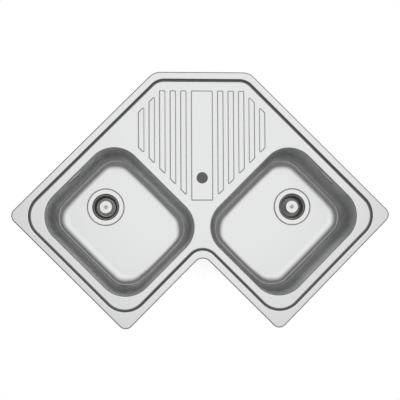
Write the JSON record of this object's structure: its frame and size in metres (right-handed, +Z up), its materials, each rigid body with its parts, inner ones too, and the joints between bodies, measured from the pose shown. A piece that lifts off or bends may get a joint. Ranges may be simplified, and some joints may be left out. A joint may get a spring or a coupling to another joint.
{
  "type": "corner kitchen sink",
  "caption": "Pressed stainless corner sink with a bowl in each arm, a fluted drainer and tap hole between them, basket wastes, overflows and worktop clips.",
  "frame": {"origin": "centre of the tap hole, at the level of the flat deck", "axes": "+Z up, +Y towards the corner of the room, +X to the right of a person at the sink"},
  "size_m": [1.153, 0.783, 0.247],
  "materials": {
    "deck_steel": "satin pressed stainless sheet",
    "bowl_steel": "satin drawn stainless sheet",
    "polished_steel": "polished stainless steel",
    "plated_steel": "zinc-plated steel",
    "black_rubber": "matt moulded rubber",
    "rim_foam": "closed-cell foam strip",
    "damping_pad": "matt damping sheet",
    "white_plastic": "moulded polypropylene",
    "hose_plastic": "blow-moulded ribbed hose"
  },
  "bodies": {
    "sink": {"deck_sheet": "deck_steel", "rim_seal": "rim_foam", "tap_stiffener": "plated_steel", "clip_brackets": "plated_steel", "left_bowl": "bowl_steel", "left_sound_pad": "damping_pad", "left_strainer_cup": "polished_steel", "left_upper_gasket": "black_rubber", "left_lower_gasket": "black_rubber", "left_waste_body": "white_plastic", "left_waste_screw": "plated_steel", "left_overflow_grille": "polished_steel", "left_overflow_gasket": "black_rubber", "left_overflow_elbow": "white_plastic", "left_overflow_screw": "plated_steel", "left_overflow_hose": "hose_plastic", "right_bowl": "bowl_steel", "right_sound_pad": "damping_pad", "right_strainer_cup": "polished_steel", "right_upper_gasket": "black_rubber", "right_lower_gasket": "black_rubber", "right_waste_body": "white_plastic", "right_waste_screw": "plated_steel", "right_overflow_grille": "polished_steel", "right_overflow_gasket": "black_rubber", "right_overflow_elbow": "white_plastic", "right_overflow_screw": "plated_steel", "right_overflow_hose": "hose_plastic"},
    "left_stopper": {"left_basket_post": "plated_steel", "left_basket_stopper": "black_rubber"},
    "left_basket": {"left_basket": "polished_steel", "left_basket_knob": "polished_steel"},
    "right_stopper": {"right_basket_post": "plated_steel", "right_basket_stopper": "black_rubber"},
    "right_basket": {"right_basket": "polished_steel", "right_basket_knob": "polished_steel"},
    "back_claw": {"claw_back": "plated_steel"},
    "back_screw": {"clamp_screw_back": "plated_steel"},
    "left_wall_inner_claw": {"left_claw_wall_inner": "plated_steel"},
    "left_wall_inner_screw": {"left_clamp_screw_wall_inner": "plated_steel"},
    "left_wall_outer_claw": {"left_claw_wall_outer": "plated_steel"},
    "left_wall_outer_screw": {"left_clamp_screw_wall_outer": "plated_steel"},
    "left_end_claw": {"left_claw_end": "plated_steel"},
    "left_end_screw": {"left_clamp_screw_end": "plated_steel"},
    "left_front_claw": {"left_claw_front": "plated_steel"},
    "left_front_screw": {"left_clamp_screw_front": "plated_steel"},
    "right_wall_inner_claw": {"right_claw_wall_inner": "plated_steel"},
    "right_wall_inner_screw": {"right_clamp_screw_wall_inner": "plated_steel"},
    "right_wall_outer_claw": {"right_claw_wall_outer": "plated_steel"},
    "right_wall_outer_screw": {"right_clamp_screw_wall_outer": "plated_steel"},
    "right_end_claw": {"right_claw_end": "plated_steel"},
    "right_end_screw": {"right_clamp_screw_end": "plated_steel"},
    "right_front_claw": {"right_claw_front": "plated_steel"},
    "right_front_screw": {"right_clamp_screw_front": "plated_steel"}
  },
  "joints": [
    {"name": "left_basket_lift", "type": "slide", "parent": "sink", "child": "left_stopper", "axis": [0, 0, 1], "range_m": [0, 0.06]},
    {"name": "left_basket_turn", "type": "hinge", "parent": "left_stopper", "child": "left_basket", "pos_m": [-0.30229, -0.08283, -0.17], "axis": [0, 0, 1], "continuous": true},
    {"name": "right_basket_lift", "type": "slide", "parent": "sink", "child": "right_stopper", "axis": [0, 0, 1], "range_m": [0, 0.06]},
    {"name": "right_basket_turn", "type": "hinge", "parent": "right_stopper", "child": "right_basket", "pos_m": [0.30229, -0.08283, -0.17], "axis": [0, 0, 1], "continuous": true},
    {"name": "back_claw_rise", "type": "slide", "parent": "sink", "child": "back_claw", "axis": [0, 0, 1], "range_m": [0, 0.014]},
    {"name": "back_screw_turn", "type": "hinge", "parent": "back_claw", "child": "back_screw", "pos_m": [0, 0.2966, -0.03], "axis": [0, 0, 1], "range_deg": [0, 5040]},
    {"name": "left_wall_inner_claw_rise", "type": "slide", "parent": "sink", "child": "left_wall_inner_claw", "axis": [0, 0, 1], "range_m": [0, 0.014]},
    {"name": "left_wall_inner_screw_turn", "type": "hinge", "parent": "left_wall_inner_claw", "child": "left_wall_inner_screw", "pos_m": [-0.21991, 0.21168, -0.03], "axis": [0, 0, 1], "range_deg": [0, 5040]},
    {"name": "left_wall_outer_claw_rise", "type": "slide", "parent": "sink", "child": "left_wall_outer_claw", "axis": [0, 0, 1], "range_m": [0, 0.014]},
    {"name": "left_wall_outer_screw_turn", "type": "hinge", "parent": "left_wall_outer_claw", "child": "left_wall_outer_screw", "pos_m": [-0.50417, -0.07258, -0.03], "axis": [0, 0, 1], "range_deg": [0, 5040]},
    {"name": "left_end_claw_rise", "type": "slide", "parent": "sink", "child": "left_end_claw", "axis": [0, 0, 1], "range_m": [0, 0.014]},
    {"name": "left_end_screw_turn", "type": "hinge", "parent": "left_end_claw", "child": "left_end_screw", "pos_m": [-0.38962, -0.27057, -0.03], "axis": [0, 0, 1], "range_deg": [0, 5040]},
    {"name": "left_front_claw_rise", "type": "slide", "parent": "sink", "child": "left_front_claw", "axis": [0, 0, 1], "range_m": [0, 0.014]},
    {"name": "left_front_screw_turn", "type": "hinge", "parent": "left_front_claw", "child": "left_front_screw", "pos_m": [-0.1195, -0.313, -0.03], "axis": [0, 0, 1], "range_deg": [0, 5040]},
    {"name": "right_wall_inner_claw_rise", "type": "slide", "parent": "sink", "child": "right_wall_inner_claw", "axis": [0, 0, 1], "range_m": [0, 0.014]},
    {"name": "right_wall_inner_screw_turn", "type": "hinge", "parent": "right_wall_inner_claw", "child": "right_wall_inner_screw", "pos_m": [0.21991, 0.21168, -0.03], "axis": [0, 0, 1], "range_deg": [0, 5040]},
    {"name": "right_wall_outer_claw_rise", "type": "slide", "parent": "sink", "child": "right_wall_outer_claw", "axis": [0, 0, 1], "range_m": [0, 0.014]},
    {"name": "right_wall_outer_screw_turn", "type": "hinge", "parent": "right_wall_outer_claw", "child": "right_wall_outer_screw", "pos_m": [0.50417, -0.07258, -0.03], "axis": [0, 0, 1], "range_deg": [0, 5040]},
    {"name": "right_end_claw_rise", "type": "slide", "parent": "sink", "child": "right_end_claw", "axis": [0, 0, 1], "range_m": [0, 0.014]},
    {"name": "right_end_screw_turn", "type": "hinge", "parent": "right_end_claw", "child": "right_end_screw", "pos_m": [0.38962, -0.27057, -0.03], "axis": [0, 0, 1], "range_deg": [0, 5040]},
    {"name": "right_front_claw_rise", "type": "slide", "parent": "sink", "child": "right_front_claw", "axis": [0, 0, 1], "range_m": [0, 0.014]},
    {"name": "right_front_screw_turn", "type": "hinge", "parent": "right_front_claw", "child": "right_front_screw", "pos_m": [0.1195, -0.313, -0.03], "axis": [0, 0, 1], "range_deg": [0, 5040]}
  ],
  "couplings": [
    {"joint": "back_screw_turn", "follows": "back_claw_rise", "rad_per_m": 6283.2},
    {"joint": "left_wall_inner_screw_turn", "follows": "left_wall_inner_claw_rise", "rad_per_m": 6283.2},
    {"joint": "left_wall_outer_screw_turn", "follows": "left_wall_outer_claw_rise", "rad_per_m": 6283.2},
    {"joint": "left_end_screw_turn", "follows": "left_end_claw_rise", "rad_per_m": 6283.2},
    {"joint": "left_front_screw_turn", "follows": "left_front_claw_rise", "rad_per_m": 6283.2},
    {"joint": "right_wall_inner_screw_turn", "follows": "right_wall_inner_claw_rise", "rad_per_m": 6283.2},
    {"joint": "right_wall_outer_screw_turn", "follows": "right_wall_outer_claw_rise", "rad_per_m": 6283.2},
    {"joint": "right_end_screw_turn", "follows": "right_end_claw_rise", "rad_per_m": 6283.2},
    {"joint": "right_front_screw_turn", "follows": "right_front_claw_rise", "rad_per_m": 6283.2}
  ]
}
